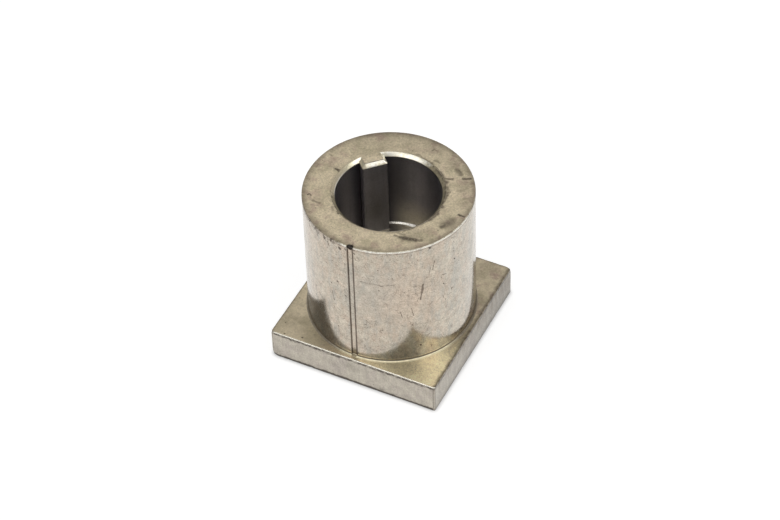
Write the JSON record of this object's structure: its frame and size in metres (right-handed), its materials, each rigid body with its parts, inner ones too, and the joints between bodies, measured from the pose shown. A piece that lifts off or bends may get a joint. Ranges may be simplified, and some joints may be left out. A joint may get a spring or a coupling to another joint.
{
  "type": "mower blade adapter",
  "caption": "Sintered steel adapter that seats a mower blade on a keyed engine shaft: square plate, round hub with an inner key and a bolt hole through its floor.",
  "frame": {"origin": "middle of the plate's bottom face", "axes": "+Z along the hub's axis, from the plate towards the socket's mouth; X and Y parallel to the plate's sides; -Y is the side with the flute, and the key stands at 135 degrees from +X"},
  "size_m": [0.044, 0.044, 0.045],
  "materials": {
    "sintered_steel": "bare pressed and sintered steel, satin warm grey on the sides, matte olive on the upward faces, dark and oily in the socket, with small stains, specks and scratches"
  },
  "bodies": {
    "root": {"blade_adapter": "sintered_steel"}
  },
  "joints": []
}
